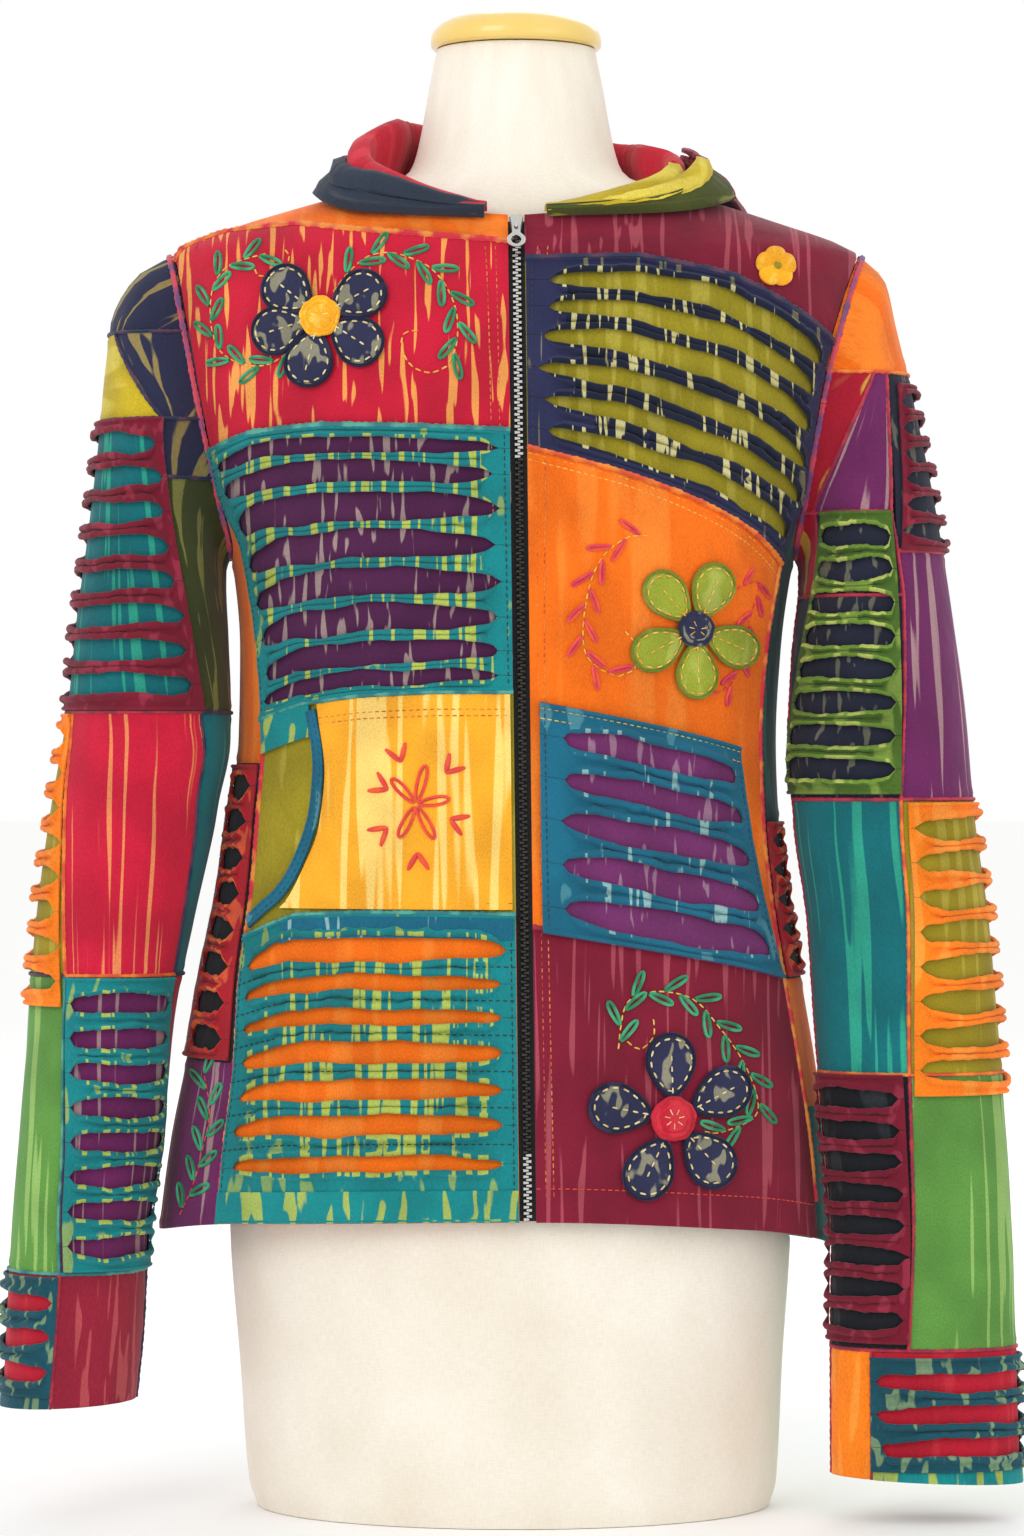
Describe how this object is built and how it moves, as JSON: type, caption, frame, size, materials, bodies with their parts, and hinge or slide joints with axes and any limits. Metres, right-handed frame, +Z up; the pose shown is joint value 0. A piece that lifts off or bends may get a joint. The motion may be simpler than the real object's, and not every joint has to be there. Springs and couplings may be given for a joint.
{
  "type": "hooded jacket on dress form",
  "caption": "Patchwork zipped hooded jacket with slashed upper layers and cloth flowers, hanging open-cuffed on a limbless dress form.",
  "frame": {"origin": "centre of the dress form's flat base, on the surface it stands on", "axes": "+Z up along the form's neck, -Y out of the jacket's zipped front, +X towards the wearer's left"},
  "size_m": [0.6235, 0.28, 0.9225],
  "materials": {
    "cotton_orange": "matt streaked cotton jersey",
    "cotton_red": "matt streaked cotton jersey",
    "cotton_purple": "matt streaked cotton jersey",
    "cotton_olive": "matt streaked cotton jersey",
    "cotton_maroon": "matt streaked cotton jersey",
    "cotton_teal": "matt streaked cotton jersey",
    "cotton_blue": "matt streaked cotton jersey",
    "cotton_navy": "matt streaked cotton jersey",
    "cotton_yellow": "matt streaked cotton jersey",
    "cotton_green": "matt streaked cotton jersey",
    "cotton_black": "matt cotton jersey",
    "zip_tape": "woven tape",
    "zip_metal": "polished",
    "form_jersey": "plain jersey cover",
    "cap_enamel": "glossy"
  },
  "bodies": {
    "jacket_and_form": {"back": "cotton_teal", "flower_chest": "cotton_navy", "flower_chest_middle": "cotton_yellow", "flower_hip": "cotton_navy", "flower_hip_middle": "cotton_red", "flower_waist": "cotton_olive", "flower_waist_middle": "cotton_navy", "flower_yoke": "cotton_yellow", "flower_yoke_middle": "cotton_olive", "form_body": "form_jersey", "form_neck_cap": "cap_enamel", "front_left_chest": "cotton_olive", "front_left_hip": "cotton_maroon", "front_left_waist": "cotton_orange", "front_left_yoke": "cotton_maroon", "front_right_chest": "cotton_red", "front_right_hem": "cotton_orange", "front_right_hip": "cotton_olive", "front_right_waist": "cotton_purple", "front_right_yoke": "cotton_orange", "hood": "cotton_red", "pocket_left": "cotton_blue", "pocket_left_back": "cotton_purple", "pocket_right": "cotton_yellow", "pocket_right_binding": "cotton_blue", "ruffle_left": "cotton_red", "ruffle_right": "cotton_red", "side_left_hem": "cotton_teal", "side_left_hip": "cotton_orange", "side_left_middle": "cotton_black", "side_left_upper": "cotton_black", "side_right_hem": "cotton_purple", "side_right_middle": "cotton_black", "side_right_upper": "cotton_orange", "sleeve_left": "cotton_green", "sleeve_right": "cotton_red", "upper_arm_left": "cotton_olive", "upper_arm_right": "cotton_maroon", "upper_chest_left": "cotton_navy", "upper_cuff_left": "cotton_blue", "upper_cuff_right": "cotton_blue", "upper_elbow_left": "cotton_orange", "upper_elbow_right": "cotton_orange", "upper_forearm_left": "cotton_maroon", "upper_forearm_right": "cotton_teal", "upper_hem_right": "cotton_teal", "upper_shoulder_left": "cotton_maroon", "upper_waist_right": "cotton_teal", "zip_bail": "zip_metal", "zip_slider": "zip_metal", "zip_tape_left": "zip_tape", "zip_tape_right": "zip_tape", "zip_teeth": "zip_metal"},
    "pull_tab": {"zip_pull_tab": "zip_metal"}
  },
  "joints": [
    {"name": "pull_tab_hinge", "type": "hinge", "parent": "jacket_and_form", "child": "pull_tab", "pos_m": [0.00007, -0.09209, 0.78215], "axis": [-1, 0, 0], "range_deg": [0, 150]}
  ]
}
